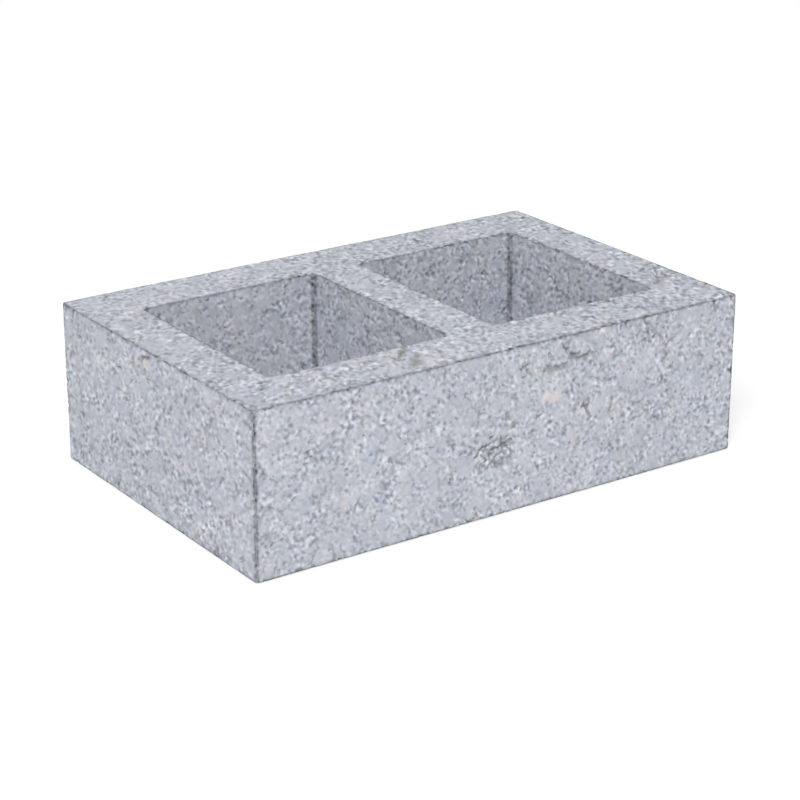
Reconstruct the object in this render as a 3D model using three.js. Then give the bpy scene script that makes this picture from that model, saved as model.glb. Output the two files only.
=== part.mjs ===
// A hollow concrete block with two cells, lying on its bed face as a mason lays it.
//
// The block is cast in one piece in a steel mould. Two tapered cores form the cells, which run
// right through from the top bed face to the bottom one. The cores taper so that the mould can
// be stripped, and the block is laid with its thicker walls up, to give the mortar a wider bed:
// every wall is at its stated thickness at the top and thins towards the bottom.
//
// Millimetres. +X runs along the block, +Y from its front face to its back face and +Z up. The
// origin is the centre of the bottom bed face, which is under the middle of the centre web.

import * as THREE from "three";

// Outer size. With a 10 mm mortar joint, the length makes up a 400 mm module.
const LENGTH = 390;
const WIDTH = 250;
const HEIGHT = 115;

// Wall thicknesses at the top bed face.
const FACE_SHELL = 45; // the two long outer walls
const END_WEB = 40; // the two short outer walls
const CENTRE_WEB = 38; // each wall between two cells

// The cores that form the cells.
const CELLS = 2;
const CORE_DRAFT = 2.5; // how far each side of a core spreads from the top to the bottom
const CORE_CORNER_RADIUS = 4;

// The mould leaves no edge quite sharp.
const UPRIGHT_EDGE_RADIUS = 3; // the four outer corners, seen from above
const ARRIS_RADIUS = 1.5; // every edge of the two bed faces, around the cells too

// Facets of the round edges.
const CORNER_STEPS = 6;
const ARRIS_STEPS = 3;

// The cells share the length that the webs leave them.
const cellLength = (LENGTH - 2 * END_WEB - (CELLS - 1) * CENTRE_WEB) / CELLS;
const cellWidth = WIDTH - 2 * FACE_SHELL;
const cellCentres = Array.from(
  { length: CELLS },
  (_, i) => -LENGTH / 2 + END_WEB + cellLength / 2 + i * (cellLength + CENTRE_WEB),
);

// Draws a rectangle with round corners, centred on (x, 0), anticlockwise from its right side.
function drawRoundedRectangle(path, x, length, width, radius) {
  const right = x + length / 2 - radius;
  const left = x - length / 2 + radius;
  const back = width / 2 - radius;
  const corners = [
    [right, back],
    [left, back],
    [left, -back],
    [right, -back],
  ];
  corners.forEach(([cx, cy], i) => {
    path.absarc(cx, cy, radius, (i * Math.PI) / 2, ((i + 1) * Math.PI) / 2);
  });
  path.closePath();
  return path;
}

// The block seen from above, at the top bed face: its outline with a hole for each cell.
function planOfBlock() {
  const plan = drawRoundedRectangle(new THREE.Shape(), 0, LENGTH, WIDTH, UPRIGHT_EDGE_RADIUS);
  plan.holes = cellCentres.map((x) =>
    drawRoundedRectangle(new THREE.Path(), x, cellLength, cellWidth, CORE_CORNER_RADIUS),
  );
  return plan;
}

// Gives the upright walls of the cells their taper. Each corner of a cell moves out from the
// cell's middle along both axes, so the walls stay flat and the corners keep their radius.
function spreadCells(geometry) {
  const position = geometry.getAttribute("position");
  const reach = ARRIS_RADIUS + cellLength / 2; // from a cell's middle to the lip of its mouth
  for (let i = 0; i < position.count; i++) {
    const x = position.getX(i);
    const y = position.getY(i);
    const middle = cellCentres.find((centre) => Math.abs(x - centre) < reach + 0.01);
    const inCell = middle !== undefined && Math.abs(y) < cellWidth / 2 + ARRIS_RADIUS + 0.01;
    if (!inCell) continue;
    const spread = CORE_DRAFT * (1 - position.getZ(i) / HEIGHT);
    position.setX(i, x + Math.sign(x - middle) * spread);
    position.setY(i, y + Math.sign(y) * spread);
  }
}

// The plan swept up through the height, its bed faces' edges rounded by the sweep's bevel.
function blockGeometry() {
  const geometry = new THREE.ExtrudeGeometry(planOfBlock(), {
    depth: HEIGHT - 2 * ARRIS_RADIUS,
    curveSegments: CORNER_STEPS / 2,
    bevelEnabled: true,
    bevelThickness: ARRIS_RADIUS,
    bevelSize: ARRIS_RADIUS,
    bevelOffset: -ARRIS_RADIUS,
    bevelSegments: ARRIS_STEPS,
  });
  geometry.translate(0, 0, ARRIS_RADIUS);
  spreadCells(geometry);
  geometry.computeVertexNormals();
  return geometry;
}

const concrete = new THREE.MeshStandardMaterial({
  name: "concrete",
  color: 0xbabec7,
  roughness: 0.95,
  metalness: 0,
});

const block = new THREE.Mesh(blockGeometry(), concrete);
block.name = "block";

const part = new THREE.Group();
part.name = "hollow_concrete_block";
part.add(block);

export default part;
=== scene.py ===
"""A hollow concrete block on a plain studio floor.

The block is pressed from semi-dry concrete, so its skin is sand and cement paste squeezed flat
against the mould: an even grey ground, full of small pits where the paste didn't fill the gaps
between the grains, with pale and buff stones here and there, and a few patches where the skin tore
as the mould came off.

One set of fields, numbers that vary over the surface, says where all of these are. What lies at
random comes from noise that nodes lay through the block. The marks that have a place of their own
are listed below, worked out once and kept with the mesh's vertices, where the nodes read them. The
mesh takes its relief from the fields, and the material its colours and its finest bumps. The
colours also hold painted shade: a pit, rim or gap is painted darker where it is deep, and a dark
line is painted along every arris and inside corner.

Lengths in the fields are in millimetres. Blender's own are in metres.
"""

import math
from typing import NamedTuple

import bpy
import numpy as np
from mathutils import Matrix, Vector


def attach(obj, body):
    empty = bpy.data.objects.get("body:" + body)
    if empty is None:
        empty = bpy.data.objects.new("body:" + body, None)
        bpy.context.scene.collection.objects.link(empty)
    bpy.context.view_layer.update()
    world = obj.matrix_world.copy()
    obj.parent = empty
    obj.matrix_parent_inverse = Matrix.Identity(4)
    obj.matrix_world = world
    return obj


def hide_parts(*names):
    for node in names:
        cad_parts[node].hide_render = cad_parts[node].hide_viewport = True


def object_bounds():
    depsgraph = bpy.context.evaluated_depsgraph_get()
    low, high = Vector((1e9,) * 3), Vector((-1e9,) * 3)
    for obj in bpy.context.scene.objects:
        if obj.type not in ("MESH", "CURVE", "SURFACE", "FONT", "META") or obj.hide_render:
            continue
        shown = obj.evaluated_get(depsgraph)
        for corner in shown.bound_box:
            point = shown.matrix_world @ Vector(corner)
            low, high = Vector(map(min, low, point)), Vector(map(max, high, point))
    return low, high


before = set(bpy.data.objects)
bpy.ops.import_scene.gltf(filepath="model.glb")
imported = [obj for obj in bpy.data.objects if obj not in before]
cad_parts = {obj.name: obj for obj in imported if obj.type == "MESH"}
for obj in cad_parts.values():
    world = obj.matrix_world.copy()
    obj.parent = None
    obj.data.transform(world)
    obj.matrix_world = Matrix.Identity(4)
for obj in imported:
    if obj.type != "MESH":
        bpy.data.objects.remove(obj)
CAD_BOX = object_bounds()
NODE = "block"
MM = 0.001

# ---------------------------------------------------------------------------------------------
# Camera
# ---------------------------------------------------------------------------------------------

CAMERA_AZIMUTH = -34.75  # degrees; 0 looks along +Y
CAMERA_ELEVATION = 20.99
CAMERA_DISTANCE = 1643 * MM
CAMERA_TARGET = Vector((7.1, 11.4, 35.0)) * MM  # the point in the middle of the picture
CAMERA_LENS = 105.54  # mm
CAMERA_SENSOR = 36  # mm
CAMERA_REACH = 100  # m, past the floor's far corners


def direction(azimuth, elevation):
    """The way from the block towards something seen at these angles, in degrees."""
    azimuth = math.radians(azimuth)
    elevation = math.radians(elevation)
    level = math.cos(elevation)
    return Vector((math.sin(azimuth) * level, -math.cos(azimuth) * level, math.sin(elevation)))


def looking(way):
    """The rotation of a camera or a lamp that looks along a way."""
    return way.to_track_quat("-Z", "Y").to_euler()


def make_camera():
    back = direction(CAMERA_AZIMUTH, CAMERA_ELEVATION)
    data = bpy.data.cameras.new("camera")
    data.sensor_width = CAMERA_SENSOR
    data.lens = CAMERA_LENS
    data.clip_end = CAMERA_REACH
    camera = bpy.data.objects.new("camera", data)
    camera.location = CAMERA_TARGET + back * CAMERA_DISTANCE
    camera.rotation_euler = looking(-back)
    bpy.context.scene.collection.objects.link(camera)
    bpy.context.scene.camera = camera


# ---------------------------------------------------------------------------------------------
# Fields that are worked out by nodes
# ---------------------------------------------------------------------------------------------


class Noise(NamedTuple):
    """Soft random hills and hollows."""

    size: float  # about how wide they are, in mm
    detail: float  # how many finer octaves they have
    shift: float  # sets them apart from all the others


class Spots(NamedTuple):
    """Random points, each with a round spot about it. Lengths are in mm."""

    spacing: float  # from point to point
    shift: float  # sets them apart from all the others
    radius: float  # of the largest spots
    chances: tuple  # the random numbers that give a point no spot and one of the largest
    uneven: float  # how far the grain moves a spot's outline
    edge: tuple  # how far outside its outline a spot starts to fade, and where it ends

    def reach(self, chance):
        """The radius of a point's spot, from its random number."""
        return self.radius * chance.rise(*self.chances)


NOISE_GAIN = 3.2  # brings the noise's standard deviation to 1

# The noise is built on a grid, which would show on a face that lies along it, so it is turned.
TURN_AXIS = (1.0, 1.0, 1.0)
TURN_ANGLE = 0.8  # radians


class Field:
    """A socket that gives a number, with arithmetic that adds the nodes it needs."""

    def __init__(self, graph, socket):
        self.graph = graph
        self.socket = socket

    def __add__(self, other):
        return self.graph.math("ADD", self, other)

    def __sub__(self, other):
        return self.graph.math("SUBTRACT", self, other)

    def __mul__(self, other):
        return self.graph.math("MULTIPLY", self, other)

    def __rsub__(self, other):
        return self.graph.math("SUBTRACT", other, self)

    __radd__ = __add__
    __rmul__ = __mul__

    def __abs__(self):
        return self.graph.math("ABSOLUTE", self)

    def __gt__(self, other):
        """1 where it is more than the other, and 0 elsewhere."""
        return self.graph.math("GREATER_THAN", self, other)

    def larger(self, other):
        return self.graph.math("MAXIMUM", self, other)

    def smaller(self, other):
        return self.graph.math("MINIMUM", self, other)

    def rise(self, low, high):
        """0 below low, 1 above high and a smooth rise between."""
        return self.graph.map_range(self, low, high, 0.0, 1.0)

    def fall(self, low, high):
        """1 below low, 0 above high and a smooth fall between."""
        return self.graph.map_range(self, low, high, 1.0, 0.0)


class Graph:
    """Adds nodes to a tree, a material's or a world's as well as one of Geometry Nodes.

    self.point is the place on the surface in mm. self.sand is the place that the noise is laid out
    by, which starts as the same. self.known holds fields that stand in for numbers kept with the
    mesh.
    """

    def __init__(self, tree, metres=None):
        self.tree = tree
        self.known = {}
        if metres is not None:
            self.point = self.vector("MULTIPLY", metres, (1 / MM,) * 3)
            self.sand = self.point

    # Nodes, and what they are fed with.

    def node(self, kind, **settings):
        made = self.tree.nodes.new(kind)
        for name, value in settings.items():
            setattr(made, name, value)
        return made

    def feed(self, socket, value):
        """Sets an input to a number, a tuple, a field or another node's socket."""
        if isinstance(value, Field):
            value = value.socket
        if isinstance(value, bpy.types.NodeSocket):
            self.tree.links.new(value, socket)
        else:
            socket.default_value = value

    def fed(self, kind, *values, **settings):
        """A new node with its first inputs fed."""
        made = self.node(kind, **settings)
        for socket, value in zip(made.inputs, values):
            self.feed(socket, value)
        return made

    def stored(self, name):
        """A number that is kept with each vertex of the mesh."""
        if name in self.known:
            return self.known[name]
        if self.tree.type == "SHADER":
            return Field(self, self.node("ShaderNodeAttribute", attribute_name=name).outputs["Fac"])
        made = self.node("GeometryNodeInputNamedAttribute", data_type="FLOAT")
        self.feed(made.inputs["Name"], name)
        return Field(self, made.outputs["Attribute"])

    # Numbers and vectors.

    def math(self, operation, *values):
        return Field(self, self.fed("ShaderNodeMath", *values, operation=operation).outputs[0])

    def map_range(self, *values):
        made = self.fed("ShaderNodeMapRange", *values, interpolation_type="SMOOTHSTEP")
        return Field(self, made.outputs["Result"])

    def vector(self, operation, *values):
        made = self.fed("ShaderNodeVectorMath", *values, operation=operation)
        number = operation in ("LENGTH", "DOT_PRODUCT")
        return made.outputs["Value" if number else "Vector"]

    def scaled(self, vector, factor):
        made = self.node("ShaderNodeVectorMath", operation="SCALE")
        self.feed(made.inputs["Vector"], vector)
        self.feed(made.inputs["Scale"], factor)
        return made.outputs["Vector"]

    def parts(self, vector):
        """The three numbers of a vector or a colour."""
        return [Field(self, socket) for socket in self.fed("ShaderNodeSeparateXYZ", vector).outputs]

    def joined(self, x, y, z):
        return self.fed("ShaderNodeCombineXYZ", x, y, z).outputs[0]

    # Noise.

    def lay(self, where, way, longer, coarser):
        """Makes all the noise that follows coarser where a field is 1, and longer still along a
        direction."""
        along = Field(self, self.vector("DOT_PRODUCT", self.sand, way)) * where
        drawn = self.vector("ADD", self.sand, self.scaled(way, along * (1 / longer - 1.0)))
        self.sand = self.scaled(drawn, 1.0 + (1 / coarser - 1.0) * where)

    def turn(self):
        """Turns all the noise that follows, so that no face of the block lies along its grid."""
        made = self.node("ShaderNodeVectorRotate")
        self.feed(made.inputs["Vector"], self.sand)
        self.feed(made.inputs["Axis"], TURN_AXIS)
        self.feed(made.inputs["Angle"], TURN_ANGLE)
        self.sand = made.outputs[0]

    def noise(self, size, detail, shift):
        """Random hills and hollows, as Noise describes them."""
        made = self.node("ShaderNodeTexNoise", normalize=False)
        self.feed(made.inputs["Vector"], self.vector("ADD", self.sand, (shift, -shift, 3 * shift)))
        self.feed(made.inputs["Scale"], 1 / size)
        self.feed(made.inputs["Detail"], detail)
        return Field(self, made.outputs[0]) * NOISE_GAIN

    def cells(self, spacing, shift):
        """For random points, the distance to the nearest in mm, and two random numbers of that
        point's own."""
        made = self.node("ShaderNodeTexVoronoi")
        self.feed(made.inputs["Vector"], self.vector("ADD", self.sand, (shift, 2 * shift, -shift)))
        self.feed(made.inputs["Scale"], 1 / spacing)
        chance, tint, _ = self.parts(made.outputs["Color"])
        return Field(self, made.outputs["Distance"]) * spacing, chance, tint


# ---------------------------------------------------------------------------------------------
# The concrete: the marks that have a place of their own
# ---------------------------------------------------------------------------------------------

LENGTH, WIDTH, HEIGHT = ((high - low) / MM for low, high in zip(*CAD_BOX))

# The way the grain lies longer on the bed faces, and the marks there with it.
BED_WAY = (0.57, 0.82, 0.0)


class Face:
    """One flat face of the block, with its own two directions."""

    def __init__(self, origin, across, up):
        self.origin = np.array(origin)
        self.axes = np.array((across, up, np.cross(across, up)))

    def local(self, points):
        """The points in mm across and up the face from its origin, and out of it."""
        return (points - self.origin) @ self.axes.T


FRONT = Face((0, -WIDTH / 2, 0), (1, 0, 0), (0, 0, 1))
LEFT = Face((-LENGTH / 2, 0, 0), (0, 1, 0), (0, 0, 1))
TOP = Face((0, 0, HEIGHT), np.cross(BED_WAY, (0, 0, 1)), BED_WAY)

# What can be told apart on the three faces: the middle of each mark on its face, its width and
# height there in mm, and how strong it is. First the patches where the skin tore.
TORN = {
    FRONT: [
        ((-10, 45), (36, 22), 1.0),
        ((32, 97), (26, 9), 0.5),
        ((57, 99), (26, 9), 0.4),
        ((120, 100), (42, 18), 0.45),
        ((125, 39), (10, 10), 0.6),
        ((-122, 101), (7, 18), 0.5),
        ((-120, 34), (10, 8), 0.5),
        ((-82, 72), (10, 10), 0.5),
        ((64, 60), (9, 12), 0.7),
        ((-55, 21), (9, 8), 0.5),
        ((-145, 48), (9, 5), 0.5),
    ],
    LEFT: [
        ((34, 97), (22, 13), 0.5),
        ((108, 65), (9, 9), 0.4),
    ],
    TOP: [
        ((179, 51), (24, 34), 0.6),
        ((-86, 66), (12, 14), 0.6),
        ((-2, -113), (12, 20), 0.4),
        ((-109, -164), (10, 14), 0.5),
    ],
}

# Stones that show through the skin by their colour.
BUFF_STONES = {
    FRONT: [
        ((31, 75), (12, 8), 1.0),
        ((38, 73), (12, 7), 1.0),
        ((-129, 38), (7, 12), 0.6),
        ((51, 43), (6, 5), 0.7),
        ((14, 97), (6, 6), 0.5),
        ((126, 95), (7, 5), 0.5),
    ],
    LEFT: [
        ((7, 105), (12, 7), 0.8),
    ],
    TOP: [
        ((-4, -111), (5, 14), 0.4),
    ],
}
PALE_STONES = {
    FRONT: [
        ((-22, 46), (7, 6), 0.6),
        ((-16, 49), (8, 3), 0.7),
        ((-17, 41), (6, 5), 0.7),
        ((-9, 41), (4, 4), 0.8),
        ((-27, 43), (4, 3), 0.8),
        ((68, 78), (5, 5), 1.0),
        ((59, 62), (5, 5), 0.8),
        ((34, 82), (28, 16), 0.3),
    ],
    LEFT: [
        ((73, 89), (9, 7), 1.0),
        ((30, 98), (6, 7), 0.9),
        ((36, 103), (8, 5), 0.8),
        ((44, 98), (7, 5), 0.7),
    ],
    TOP: [
        ((-4, -124), (3, 8), 1.0),
        ((183, 65), (8, 12), 0.7),
    ],
}
GREY_STONES = {
    FRONT: [
        ((-6, 38), (14, 8), 0.6),
        ((33, 94), (18, 7), 0.6),
        ((43, 94), (9, 6), 0.6),
    ],
    TOP: [
        ((10, -128), (8, 17), 1.0),
        ((10, -118), (5, 15), 1.0),
        ((1, -109), (5, 20), 0.8),
    ],
}

# Stones that show only because the skin over them is calm.
FLAT_STONES = {
    FRONT: [
        ((34, 82), (30, 20), 0.8),
        ((74, 60), (18, 15), 1.0),
        ((142, 92), (20, 14), 0.6),
        ((-166, 43), (20, 14), 0.6),
    ],
    LEFT: [
        ((-64, 55), (20, 16), 0.6),
    ],
    TOP: [
        ((10, -124), (9, 26), 1.0),
    ],
}

# Crevices: how strong each is, how far it reaches to either side in mm, and the points it joins.
CREVICES = {
    FRONT: [
        (0.75, 1.5, [(-27, 46), (-23, 50), (-17, 52)]),
        (0.85, 1.7, [(-14, 47), (-6, 49), (0, 51)]),
        (0.8, 1.5, [(-7, 55), (-4, 48)]),
        (0.6, 1.5, [(-20, 35), (-13, 39), (-8, 36)]),
        (0.65, 2.4, [(44, 107), (49, 101), (55, 97), (62, 96)]),
        (0.5, 1.9, [(62, 96), (67, 98), (74, 96)]),
        (0.5, 2.4, [(31, 95), (37, 94)]),
        (0.5, 2.2, [(40, 93), (45, 95)]),
        (0.5, 1.6, [(125, 99), (128, 94), (133, 91), (138, 94)]),
        (0.4, 1.6, [(112, 104), (116, 101)]),
        (1.0, 2.2, [(62, 62), (63.5, 60.5), (64, 58.5)]),
        (0.8, 1.8, [(66, 62), (64, 60)]),
        (0.7, 1.6, [(84, 53), (86, 62)]),
        (0.35, 1.4, [(69, 81), (75, 77)]),
        (0.6, 2.0, [(123, 41), (127, 37)]),
        (0.7, 1.5, [(8.5, 99), (14, 100)]),
        (0.7, 1.5, [(13.5, 97), (16, 94)]),
        (0.55, 1.8, [(-2, 70), (-2, 66)]),
        (0.65, 1.8, [(22, 61), (25, 63)]),
    ],
    LEFT: [
        (0.85, 2.8, [(25, 102), (24.5, 96)]),
        (0.85, 2.6, [(47, 91), (43, 91.5)]),
        (0.8, 2.4, [(14, 104), (11, 108), (3, 110)]),
    ],
    TOP: [
        (0.4, 2.0, [(1, -105), (0, -117)]),
        (0.8, 2.0, [(-0.5, -119), (-2, -123)]),
        (0.5, 1.4, [(-8, -117), (-12, -115)]),
        (0.8, 1.8, [(180, 72), (180, 44), (177, 33)]),
        (0.7, 1.8, [(186, 62), (180, 44)]),
    ],
}

MARK_DEPTH = 5.0  # mm that a mark reaches into the block
MARK_EDGE = (0.6, 1.2)  # where a mark starts to fade and where it ends, in halves of its size
CREVICE_DEPTH = 6.0  # mm that a crevice reaches into the block
CREVICE_CORE = 0.2  # the share of its reach that is at full strength

# The waves that make the marks' edges uneven.
WAVER_SEED = 3
WAVER_LENGTH = 9.0  # mm
WAVES = 8
TORN_WAVER = 1.4  # mm that they move the edge of a torn patch
WAVER = 0.5  # mm that they move the others

STONES = {
    "buff_stones": BUFF_STONES,
    "pale_stones": PALE_STONES,
    "grey_stones": GREY_STONES,
    "flat_stones": FLAT_STONES,
}
MARKS = ("torn", *STONES, "crevices")


def fall(value, low, high):
    """1 below low, 0 above high and a smooth fall between."""
    share = np.clip((high - value) / (high - low), 0.0, 1.0)
    return share * share * (3 - 2 * share)


def waver(points, reach):
    """The points, moved about by a few random waves, so that a mark has an uneven edge."""
    random = np.random.default_rng(WAVER_SEED)
    moved = np.zeros_like(points)
    for _ in range(WAVES):
        way = random.normal(size=3) * math.tau / WAVER_LENGTH
        phase = random.uniform(0, math.tau, size=3)
        moved += np.sin((points @ way)[:, None] + phase)
    return points + reach * math.sqrt(2 / WAVES) * moved


def spots(points, listed):
    """How much of a listed mark each point is, from 0 to 1."""
    most = np.zeros(len(points))
    for face, placed in listed.items():
        local = face.local(points)
        for (across, up), (width, height), strength in placed:
            reach = (width / 2, height / 2, MARK_DEPTH)
            away = np.linalg.norm((local - (across, up, 0)) / reach, axis=1)
            most = np.maximum(most, fall(away, *MARK_EDGE) * strength)
    return most


def crevices(points):
    """How much of a crevice each point is, from 0 to 1."""
    most = np.zeros(len(points))
    for face, lines in CREVICES.items():
        local = face.local(points)
        for strength, reach, corners in lines:
            blade = local * (1, 1, reach / CREVICE_DEPTH)
            for start, end in zip(corners, corners[1:]):
                along = np.array((*end, 0)) - (*start, 0)
                way = blade - (*start, 0)
                share = np.clip(way @ along / (along @ along), 0.0, 1.0)
                away = np.linalg.norm(way - share[:, None] * along, axis=1)
                most = np.maximum(most, fall(away, CREVICE_CORE * reach, reach) * strength)
    return most


def marks(points):
    """All that is listed above, by the names in MARKS, and how much of it is at each point."""
    moved = waver(points, WAVER)
    found = {"torn": spots(waver(points, TORN_WAVER), TORN)}
    for name, listed in STONES.items():
        found[name] = spots(moved, listed)
    found["crevices"] = crevices(moved)
    return found


# ---------------------------------------------------------------------------------------------
# The concrete: all that lies at random
# ---------------------------------------------------------------------------------------------

# The grain lies longer along one way on each kind of face: that way, how many times longer, and how
# many times coarser it is there.
SIDE_LAY = ((-0.72, 0.0, 0.70), 1.2, 1.0)
END_LAY = ((0.0, 0.89, -0.46), 1.5, 1.1)
BED_LAY = (BED_WAY, 1.45, 1.22)

# The noise that every part of the skin shares.
NOISES = {
    "grain": Noise(size=2.5, detail=0.2, shift=5.0),
    "coarse_grain": Noise(size=4.2, detail=1.0, shift=7.0),
    "clump": Noise(size=8.0, detail=0.0, shift=19.0),
    "cloud": Noise(size=14.0, detail=1.0, shift=9.0),
    "wide_cloud": Noise(size=50.0, detail=0.0, shift=15.0),
}


def skin(g):
    """Every field of the concrete's surface, by name: the numbers kept with the mesh, the noise that
    is shared, and what each of the functions below adds."""
    f = {name: g.stored(name) for name in ("edge", *MARKS)}
    f["end"] = g.stored("end") > 0.5
    f["bed"] = g.stored("bed") > 0.5
    g.lay(1.0 - f["end"] - f["bed"], *SIDE_LAY)
    g.lay(f["end"], *END_LAY)
    g.lay(f["bed"], *BED_LAY)
    g.turn()
    for name, noise in NOISES.items():
        f[name] = g.noise(*noise)
    add_stones(g, f)
    add_liveliness(g, f)
    add_sand(g, f)
    add_small_pits(g, f)
    add_large_pits(g, f)
    add_pale_grains(g, f)
    add_gaps(g, f)
    return f


STONE = Spots(spacing=13.0, shift=83.0, radius=7.0, chances=(0.4, 1.0), uneven=0.8, edge=(-1.0, 1.5))
BUFF_WEIGHT = 1.6  # a buff stone counts this many times
RIM_PLACE = 0.4  # mm outside the outline of a stone
RIM_EDGE = (0.1, 0.9)  # mm from there, where a rim starts to fade and where it ends
RIM_CHANCES = (0.45, 0.55)  # the smaller stones have no rim,
RIM_CLUMPS = (0.3, 1.3)  # and the others have one only where the clumps are high


def add_stones(g, f):
    """Stones pressed flat against the mould, and rims where the paste has left a gap beside them."""
    distance, chance, f["stone_tint"] = g.cells(STONE.spacing, STONE.shift)
    outside = distance + STONE.uneven * f["coarse_grain"] - STONE.reach(chance)
    f["stones"] = outside.fall(*STONE.edge).larger(f["flat_stones"])
    f["stones"] = f["stones"].larger(BUFF_WEIGHT * f["buff_stones"])
    f["from_rim"] = abs(outside - RIM_PLACE)
    rims = f["from_rim"].fall(*RIM_EDGE) * chance.rise(*RIM_CHANCES) * f["clump"].rise(*RIM_CLUMPS)
    f["rims"] = rims * (1.0 - f["buff_stones"])


LIVELINESS = Noise(size=9.0, detail=1.0, shift=61.0)
LIVELY_SPREAD = 0.37  # how much it changes from place to place
DRIER = (-80.0, 60.0)  # mm along the block; the mix is a little drier on the right than on the left
DRY_LIVELIER = 0.08  # how much livelier the sand is there,
END_LIVELIER = 0.08  # on the faces that look along the block,
BED_LIVELIER = 0.26  # and on the bed faces, which no wall of the mould pressed flat
LEAST_LIVELY = 0.3
STONE_CALM = 0.55  # how much of it a stone takes away


def add_liveliness(g, f):
    """How much the sand varies: about 1, less on the stones and more where the skin is torn."""
    along, _, _ = g.parts(g.point)
    lively = 1.0 + LIVELY_SPREAD * g.noise(*LIVELINESS) + DRY_LIVELIER * along.rise(*DRIER)
    lively = lively + END_LIVELIER * f["end"] + BED_LIVELIER * f["bed"]
    f["lively"] = lively.larger(LEAST_LIVELY) * (1.0 - STONE_CALM * f["stones"]) + f["torn"]


SAND = 3.0  # mm between grains
SAND_SHIFT = 3.0
SAND_EDGE = (0.6, 2.2)  # mm from a grain's middle, where its tint starts to fade and where it ends


def add_sand(g, f):
    """Grains of sand: how far each place is from the nearest, in spacings, and that grain's tint."""
    distance, _, tint = g.cells(SAND, SAND_SHIFT)
    f["between"] = distance * (1 / SAND)
    f["sand_tint"] = (tint - 0.5) * distance.fall(*SAND_EDGE)


SMALL_PITS = Spots(
    spacing=3.5, shift=37.0, radius=1.25, chances=(0.1, 1.0), uneven=0.2, edge=(-0.7, 0.5)
)
# What widens the pits, in mm of radius.
CLUMP_WIDENS = 0.1
LIVELY_WIDENS = 0.5
RIM_WIDENS = 0.5
RIM_NEAR = (0.1, 1.4)  # mm from the rim of a stone
ARRIS_WIDENS = 0.5


def add_small_pits(g, f):
    """The small pits that are left between the grains and round the stones."""
    distance, chance, _ = g.cells(SMALL_PITS.spacing, SMALL_PITS.shift)
    reach = SMALL_PITS.reach(chance) + CLUMP_WIDENS * f["clump"] + LIVELY_WIDENS * (f["lively"] - 1.0)
    reach = reach + RIM_WIDENS * f["from_rim"].fall(*RIM_NEAR) + ARRIS_WIDENS * f["edge"]
    pits = (distance + SMALL_PITS.uneven * f["grain"] - reach).fall(*SMALL_PITS.edge)
    f["small_pits"] = pits * (1.0 - f["buff_stones"])


HOLLOWS = Noise(size=4.6, detail=1.0, shift=31.0)
HOLLOW_CLUMP = 0.4  # how much the clumps lift them,
HOLLOW_GRAIN = 0.25  # the grain,
HOLLOW_STONE = 0.7  # and the stones, which have fewer pits
HOLLOW_TORN = 0.8  # how much a torn skin lowers them, for more pits
LOW = (-2.9, -1.9)  # the height at which a pit is full, and the height above which there is none


def add_large_pits(g, f):
    """Large pits, in the lowest of the hollows."""
    height = g.noise(*HOLLOWS) + HOLLOW_CLUMP * f["clump"] + HOLLOW_GRAIN * f["grain"]
    height = height + HOLLOW_STONE * f["stones"] - HOLLOW_TORN * f["torn"]
    f["large_pits"] = height.fall(*LOW)


PALE = Spots(spacing=5.0, shift=57.0, radius=2.0, chances=(0.6, 1.0), uneven=0.4, edge=(-1.2, 0.9))
RARE = Spots(spacing=14.0, shift=71.0, radius=2.6, chances=(0.5, 0.9), uneven=0.8, edge=(-1.2, 0.8))


def add_pale_grains(g, f):
    """Pale grains that lie close under the skin, and a few larger ones, pale or buff."""
    distance, chance, _ = g.cells(PALE.spacing, PALE.shift)
    f["pale_grains"] = (distance + PALE.uneven * f["grain"] - PALE.reach(chance)).fall(*PALE.edge)
    distance, chance, f["rare_tint"] = g.cells(RARE.spacing, RARE.shift)
    outside = distance + RARE.uneven * f["coarse_grain"] - RARE.reach(chance)
    f["rare_grains"] = outside.fall(*RARE.edge)


CRACKS = Noise(size=6.0, detail=2.0, shift=53.0)
CRACK_WIDTH = (0.1, 0.6)  # how far from 0 the noise is where a crack starts to fade and where it ends
CRACK_STRENGTH = 0.5


def add_gaps(g, f):
    """The crevices, and the cracks between the grains that stand up where the skin is torn."""
    cracks = abs(g.noise(*CRACKS)).fall(*CRACK_WIDTH)
    f["gaps"] = (CRACK_STRENGTH * cracks * f["torn"]).larger(f["crevices"])


# Depths in mm.
CLOUD_DEPTH = 0.10
GRAIN_DEPTH = 0.10
SMALL_PIT_DEPTH = 0.5
LARGE_PIT_DEPTH = 1.4
TORN_DEPTH = 0.6
GAP_DEPTH = 2.2
RIM_DEPTH = 0.9
ARRIS_DEPTH = 0.25


def depth_of(f):
    """How far the surface lies under the mould's face, for the mesh."""
    ground = CLOUD_DEPTH * (1.0 - f["wide_cloud"]) + GRAIN_DEPTH * (1.0 - f["coarse_grain"])
    pits = SMALL_PIT_DEPTH * f["small_pits"] + LARGE_PIT_DEPTH * f["large_pits"]
    torn = TORN_DEPTH * f["torn"] + GAP_DEPTH * f["gaps"] + RIM_DEPTH * f["rims"]
    wear = f["edge"] * (0.5 + 0.5 * f["coarse_grain"]).larger(0.0) * ARRIS_DEPTH
    return (ground + pits + torn).larger(0.0) + wear


# ---------------------------------------------------------------------------------------------
# The block's mesh
# ---------------------------------------------------------------------------------------------

VOXEL = 0.8 * MM
TRIANGLES = 190_000
FACING = 0.7  # a face looks along an axis where its normal has more than this along it
ARRIS_TURN = 0.25  # how far short of 1 the normal's largest part falls in the middle of an arris
ARRIS_BLUR = 3  # rounds of smoothing, which widen the arris


def apply_modifiers(piece):
    graph = bpy.context.evaluated_depsgraph_get()
    mesh = bpy.data.meshes.new_from_object(piece.evaluated_get(graph))
    piece.modifiers.clear()
    piece.data = mesh


def keep(mesh, name, values):
    """Keeps a number with each vertex, for the nodes to read."""
    mesh.attributes.new(name, "FLOAT", "POINT").data.foreach_set("value", values.astype(np.float32))


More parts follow.
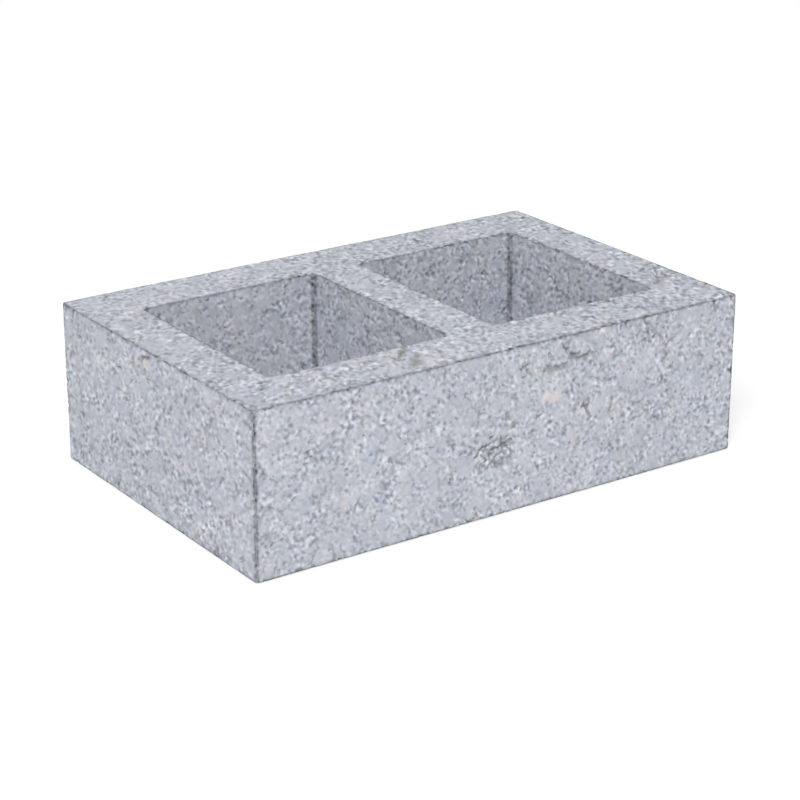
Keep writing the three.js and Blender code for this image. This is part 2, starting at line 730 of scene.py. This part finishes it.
def mark(mesh):
    """Keeps with each vertex how much of every listed mark it is, and what kind of face it is on."""
    points = np.empty(3 * len(mesh.vertices))
    mesh.vertices.foreach_get("co", points)
    for name, values in marks(points.reshape(-1, 3) / MM).items():
        keep(mesh, name, values)
    normals = np.empty(3 * len(mesh.vertices))
    mesh.vertex_normals.foreach_get("vector", normals)
    keep(mesh, "end", np.abs(normals[0::3]) > FACING)
    keep(mesh, "bed", np.abs(normals[2::3]) > FACING)


def relief_nodes():
    """Geometry nodes that push the surface in by the concrete's relief, and keep with it how much
    of an arris each vertex is."""
    tree = bpy.data.node_groups.new("concrete_relief", "GeometryNodeTree")
    tree.interface.new_socket("Geometry", in_out="INPUT", socket_type="NodeSocketGeometry")
    tree.interface.new_socket("Geometry", in_out="OUTPUT", socket_type="NodeSocketGeometry")
    start = tree.nodes.new("NodeGroupInput")
    end = tree.nodes.new("NodeGroupOutput")
    position = tree.nodes.new("GeometryNodeInputPosition")
    normal = tree.nodes.new("GeometryNodeInputNormal")
    g = Graph(tree, position.outputs[0])

    # A face's normal has one part of 1, so the largest part falls short of 1 only round an edge.
    x, y, z = g.parts(g.vector("ABSOLUTE", normal.outputs[0]))
    blur = g.node("GeometryNodeBlurAttribute", data_type="FLOAT")
    g.feed(blur.inputs["Value"], (1.0 - x.larger(y).larger(z)).rise(0.0, ARRIS_TURN))
    g.feed(blur.inputs["Iterations"], ARRIS_BLUR)
    edge = Field(g, blur.outputs[0])
    g.known["edge"] = edge

    keep_edge = g.node("GeometryNodeStoreNamedAttribute", data_type="FLOAT", domain="POINT")
    g.feed(keep_edge.inputs["Geometry"], start.outputs[0])
    g.feed(keep_edge.inputs["Name"], "edge")
    g.feed(keep_edge.inputs["Value"], edge)
    move = g.node("GeometryNodeSetPosition")
    g.feed(move.inputs["Geometry"], keep_edge.outputs[0])
    g.feed(move.inputs["Offset"], g.scaled(normal.outputs[0], depth_of(skin(g)) * -MM))
    g.feed(end.inputs[0], move.outputs[0])
    return tree


def make_block():
    """The block as one closed mesh: the CAD's shape in small even squares, which the relief pushes
    in and which then join to fewer triangles."""
    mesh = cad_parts[NODE].data.copy()
    mesh.materials.clear()
    block = bpy.data.objects.new("pressed_block", mesh)
    bpy.context.scene.collection.objects.link(block)

    remesh = block.modifiers.new("even_mesh", "REMESH")
    remesh.mode = "VOXEL"
    remesh.voxel_size = VOXEL
    apply_modifiers(block)
    mark(block.data)

    relief = block.modifiers.new("relief", "NODES")
    relief.node_group = relief_nodes()
    apply_modifiers(block)

    fewer = block.modifiers.new("fewer_triangles", "DECIMATE")
    squares = len(block.data.polygons)
    fewer.ratio = min(1.0, TRIANGLES / (2 * squares))
    apply_modifiers(block)

    block.data.shade_smooth()
    block.data.materials.append(concrete_material())
    return block


# ---------------------------------------------------------------------------------------------
# The concrete's material
# ---------------------------------------------------------------------------------------------

PASTE_COLOUR = (0.510, 0.545, 0.617)
WARM_COLOUR = (0.530, 0.542, 0.592)
# Painted shade: the dark that the pits, the rims beside the stones and the gaps are painted with, in
# place of the shadow inside them.
PIT_PAINTED_SHADE = (0.255, 0.265, 0.285)
GAP_PAINTED_SHADE = (0.20, 0.20, 0.19)
PALE_COLOUR = (0.74, 0.76, 0.80)
BUFF_COLOUR = (0.71, 0.635, 0.61)
GREY_COLOUR = (0.30, 0.32, 0.32)
WARM_SPREAD = 0.3  # how much the warmth of the paste changes from cloud to cloud

# The coats on the paste in order, each with its field, its strength and its colour. The first, the
# stones' own colours, lie under the sand's own light and dark, and the others, painted shade in the
# hollows, over them.
STONE_COATS = {
    "buff_stones": (0.85, BUFF_COLOUR),
    "pale_stones": (0.7, PALE_COLOUR),
    "grey_stones": (0.95, GREY_COLOUR),
}
# Painted shade in the hollows: the deeper a pit, rim or gap, the darker it is painted.
HOLLOW_PAINTED_SHADE = {
    "large_pits": (0.5, PIT_PAINTED_SHADE),
    "small_pits": (0.6, PIT_PAINTED_SHADE),
    "rims": (0.4, PIT_PAINTED_SHADE),
    "gaps": (0.85, GAP_PAINTED_SHADE),
}
PALE_GRAIN_COAT = 0.6
RARE_GRAIN_COAT = 0.5

# How much each field makes the concrete lighter or darker.
GRAIN_TONE = 0.13
COARSE_GRAIN_TONE = 0.055
COARSE_GRAIN_MOST = 1.2
BETWEEN_TONE = 0.10
SAND_TONE = 0.18
CLOUD_TONE = 0.030
WIDE_CLOUD_TONE = 0.015
STONE_TONE = 0.045
STONE_LEVEL = 0.3  # the tint of a stone as light as the sand
# Painted shade: a dark line along every arris and inside corner, dark enough to outweigh the light
# that a rounded arris catches.
ARRIS_PAINTED_SHADE = 0.9
ARRIS_SHADE_GAIN = 1.5  # the arris counts this many times
ARRIS_SHADE_MOST = 0.6  # up to this much

# How much red and blue change from place to place.
RED_NOISE = Noise(size=4.5, detail=2.0, shift=91.0)
RED_SPREAD = 0.010
BLUE_NOISE = Noise(size=4.5, detail=2.0, shift=97.0)
BLUE_SPREAD = 0.014

ROUGHNESS = 0.9
GRAIN_ROUGHNESS = 0.06
SPECULAR = 0.3

# Heights in mm of the bumps that are finer than the mesh.
GRAIN_BUMP = 0.05
BETWEEN_BUMP = 0.08
PIT_BUMP = 0.22
BUMP_STRENGTH = 0.7


def mix(g, share, first, second):
    """Fades from the first colour to the second as share goes from 0 to 1."""
    made = g.node("ShaderNodeMix", data_type="RGBA")
    g.feed(made.inputs["Factor"], share)
    for name, colour in (("A", first), ("B", second)):
        socket = next(s for s in made.inputs if s.name == name and s.type == "RGBA")
        g.feed(socket, (*colour, 1.0) if isinstance(colour, tuple) else colour)
    return next(s for s in made.outputs if s.type == "RGBA")


def coated(g, f, colour, coats):
    """The colour with the coats laid over it, each as strong as its field."""
    for name, (strength, coat) in coats.items():
        colour = mix(g, f[name] * strength, colour, coat)
    return colour


def tone_of(f):
    """How light the concrete is, about 1, with a painted dark line of shade along the arrises."""
    return (
        1.0
        + GRAIN_TONE * f["grain"] * f["lively"]
        + COARSE_GRAIN_TONE * f["coarse_grain"].smaller(COARSE_GRAIN_MOST) * f["lively"]
        + BETWEEN_TONE * (0.5 - f["between"]) * f["lively"]
        + SAND_TONE * f["sand_tint"] * f["lively"]
        + CLOUD_TONE * f["cloud"]
        + WIDE_CLOUD_TONE * f["wide_cloud"]
        + STONE_TONE * f["stones"] * (f["stone_tint"] - STONE_LEVEL)
        - ARRIS_PAINTED_SHADE * (ARRIS_SHADE_GAIN * f["edge"]).smaller(ARRIS_SHADE_MOST)
    )


def colour_of(g, f):
    """The paste, what shows through it, its light and dark, and the painted shade in its hollows."""
    warmth = (0.5 + WARM_SPREAD * f["cloud"]).smaller(1.0).larger(0.0)
    colour = mix(g, warmth, PASTE_COLOUR, WARM_COLOUR)
    colour = mix(g, f["pale_grains"] * PALE_GRAIN_COAT, colour, PALE_COLOUR)
    rare_colour = mix(g, f["rare_tint"], PALE_COLOUR, BUFF_COLOUR)
    colour = mix(g, f["rare_grains"] * RARE_GRAIN_COAT, colour, rare_colour)
    colour = coated(g, f, colour, STONE_COATS)
    colour = g.scaled(colour, tone_of(f))
    red = 1.0 + RED_SPREAD * g.noise(*RED_NOISE)
    blue = 1.0 + BLUE_SPREAD * g.noise(*BLUE_NOISE)
    colour = g.vector("MULTIPLY", colour, g.joined(red, 1.0, blue))
    return coated(g, f, colour, HOLLOW_PAINTED_SHADE)


def bumped(g, f):
    """The surface's direction under its finest bumps."""
    sand = (GRAIN_BUMP * f["grain"] - BETWEEN_BUMP * f["between"]) * f["lively"]
    bump = g.node("ShaderNodeBump")
    g.feed(bump.inputs["Height"], sand - PIT_BUMP * f["small_pits"])
    g.feed(bump.inputs["Distance"], MM)
    g.feed(bump.inputs["Strength"], BUMP_STRENGTH)
    return bump.outputs[0]


def concrete_material():
    material = bpy.data.materials.new("concrete")
    material.use_nodes = True
    tree = material.node_tree
    shader = tree.nodes["Principled BSDF"]
    place = tree.nodes.new("ShaderNodeTexCoord")
    g = Graph(tree, place.outputs["Object"])
    f = skin(g)
    g.feed(shader.inputs["Base Color"], colour_of(g, f))
    g.feed(shader.inputs["Roughness"], ROUGHNESS + GRAIN_ROUGHNESS * f["grain"])
    g.feed(shader.inputs["Normal"], bumped(g, f))
    shader.inputs["Specular IOR Level"].default_value = SPECULAR
    return material


# ---------------------------------------------------------------------------------------------
# Studio
# ---------------------------------------------------------------------------------------------

WHITE = (1.0, 1.0, 1.0, 1.0)
SKY = 0.50  # the strength of the light from all round

FLOOR_SIZE = 60.0  # m
FLOOR_COLOUR = 0.8  # as the object is lit by it
FLOOR_SEEN = 0.55  # its colour where the camera sees it near the object
WHITE_SEEN = 0.54  # and the white that is added there, which leaves the shadow soft
NEAR = (350, 800)  # mm from the middle; beyond, the camera sees pure white

KEY_AZIMUTH = -42.5  # degrees, as the camera's
KEY_ELEVATION = 45.0
KEY_DISTANCE = 6.0  # m
KEY_SIZE = 2.2  # m
KEY_POWER = 221.0  # W


def seen_directly(g):
    """1 for a ray from the camera or by way of a mirror or glass, 0 for light on the object."""
    path = g.node("ShaderNodeLightPath")
    camera, glossy, through = (
        Field(g, path.outputs[name])
        for name in ("Is Camera Ray", "Is Glossy Ray", "Is Transmission Ray")
    )
    return camera.larger(glossy).larger(through)


def make_floor():
    half = FLOOR_SIZE / 2
    mesh = bpy.data.meshes.new("floor")
    corners = [(-half, -half, 0), (half, -half, 0), (half, half, 0), (-half, half, 0)]
    mesh.from_pydata(corners, [], [(0, 1, 2, 3)])
    mesh.materials.append(floor_material())
    floor = bpy.data.objects.new("floor", mesh)
    bpy.context.scene.collection.objects.link(floor)


def floor_material():
    """A pale floor that keeps the object's shadow, and that the camera sees as white all round."""
    material = bpy.data.materials.new("floor")
    material.use_nodes = True
    tree = material.node_tree
    shader = tree.nodes["Principled BSDF"]
    place = tree.nodes.new("ShaderNodeTexCoord")
    g = Graph(tree, place.outputs["Object"])
    seen = seen_directly(g)
    near = Field(g, g.vector("LENGTH", g.point)).fall(*NEAR)
    grey = FLOOR_COLOUR + seen * (FLOOR_SEEN * near - FLOOR_COLOUR)
    g.feed(shader.inputs["Base Color"], g.joined(grey, grey, grey))
    shader.inputs["Roughness"].default_value = 1.0
    shader.inputs["Specular IOR Level"].default_value = 0.0
    shader.inputs["Emission Color"].default_value = WHITE
    g.feed(shader.inputs["Emission Strength"], seen * (1.0 - (1.0 - WHITE_SEEN) * near))
    return material


def make_world():
    """Even light from all round, behind which the camera sees white."""
    world = bpy.data.worlds.new("studio")
    bpy.context.scene.world = world
    world.use_nodes = True
    background = world.node_tree.nodes["Background"]
    background.inputs["Color"].default_value = WHITE
    g = Graph(world.node_tree)
    g.feed(background.inputs["Strength"], g.math("MULTIPLY_ADD", seen_directly(g), 1 - SKY, SKY))


def make_key_lamp():
    data = bpy.data.lights.new("key", "AREA")
    data.shape = "DISK"
    data.size = KEY_SIZE
    data.energy = KEY_POWER
    lamp = bpy.data.objects.new("key", data)
    way = direction(KEY_AZIMUTH, KEY_ELEVATION)
    lamp.location = way * KEY_DISTANCE
    lamp.rotation_euler = looking(-way)
    bpy.context.scene.collection.objects.link(lamp)


make_camera()
make_floor()
make_world()
make_key_lamp()

block = make_block()
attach(block, "root")
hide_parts(NODE)

bpy.context.scene.view_settings.view_transform = "Standard"
